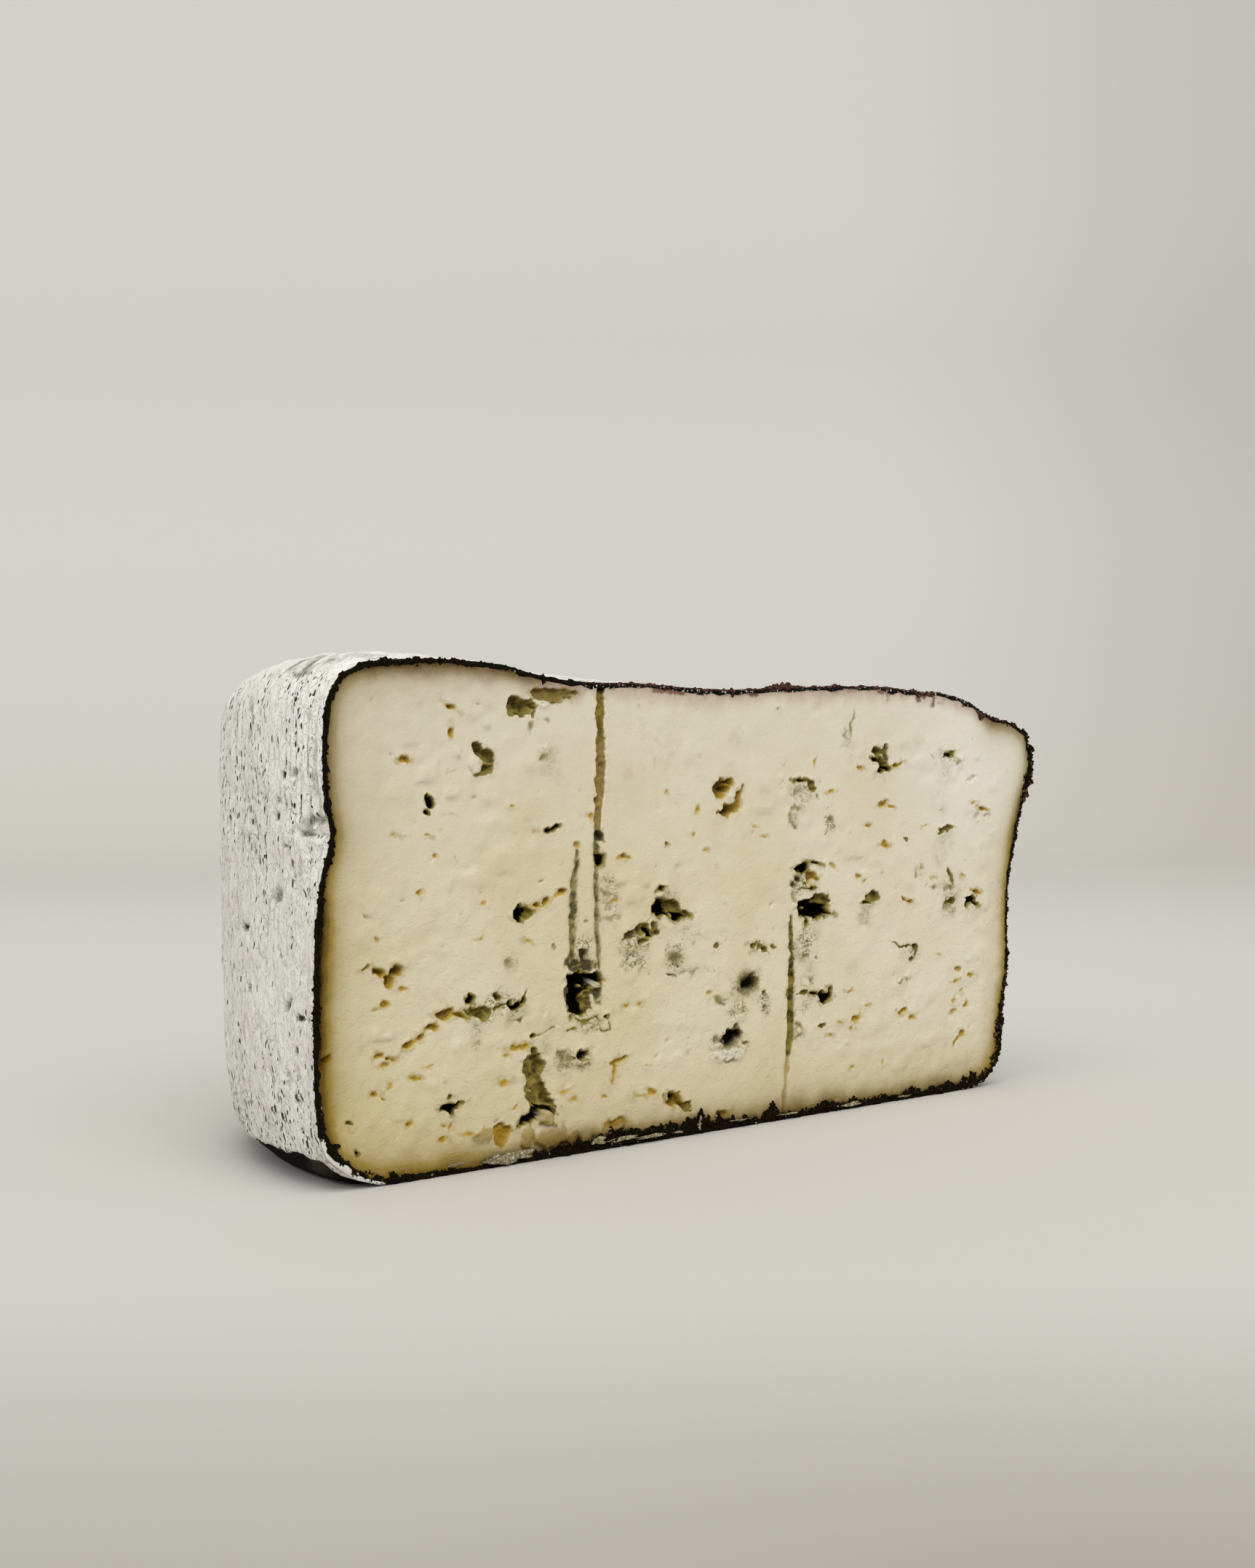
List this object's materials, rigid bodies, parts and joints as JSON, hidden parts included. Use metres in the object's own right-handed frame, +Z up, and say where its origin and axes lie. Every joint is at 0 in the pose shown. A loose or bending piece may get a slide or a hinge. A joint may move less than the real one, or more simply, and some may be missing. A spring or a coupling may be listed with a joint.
{
  "type": "half wheel of blue cheese",
  "caption": "Half of a drum-shaped blue cheese, cut through the middle, with a flat veined cut face and a white mould rind round the back, top and base.",
  "frame": {"origin": "middle of the base of the bounding box, on the surface that the cheese stands on", "axes": "+X along the cut face, to the right seen from the cut side; +Y from the cut face into the cheese; +Z up"},
  "size_m": [0.2424, 0.1186, 0.1082],
  "materials": {
    "paste": "moist ivory cheese paste with grey-green and ochre mould in its holes, satin",
    "rind": "dry chalky white mould rind with dark flecks, matte",
    "crust": "dark brown crumbly crust at the cut edge, rough"
  },
  "bodies": {
    "root": {"cheese": "paste"}
  },
  "joints": []
}
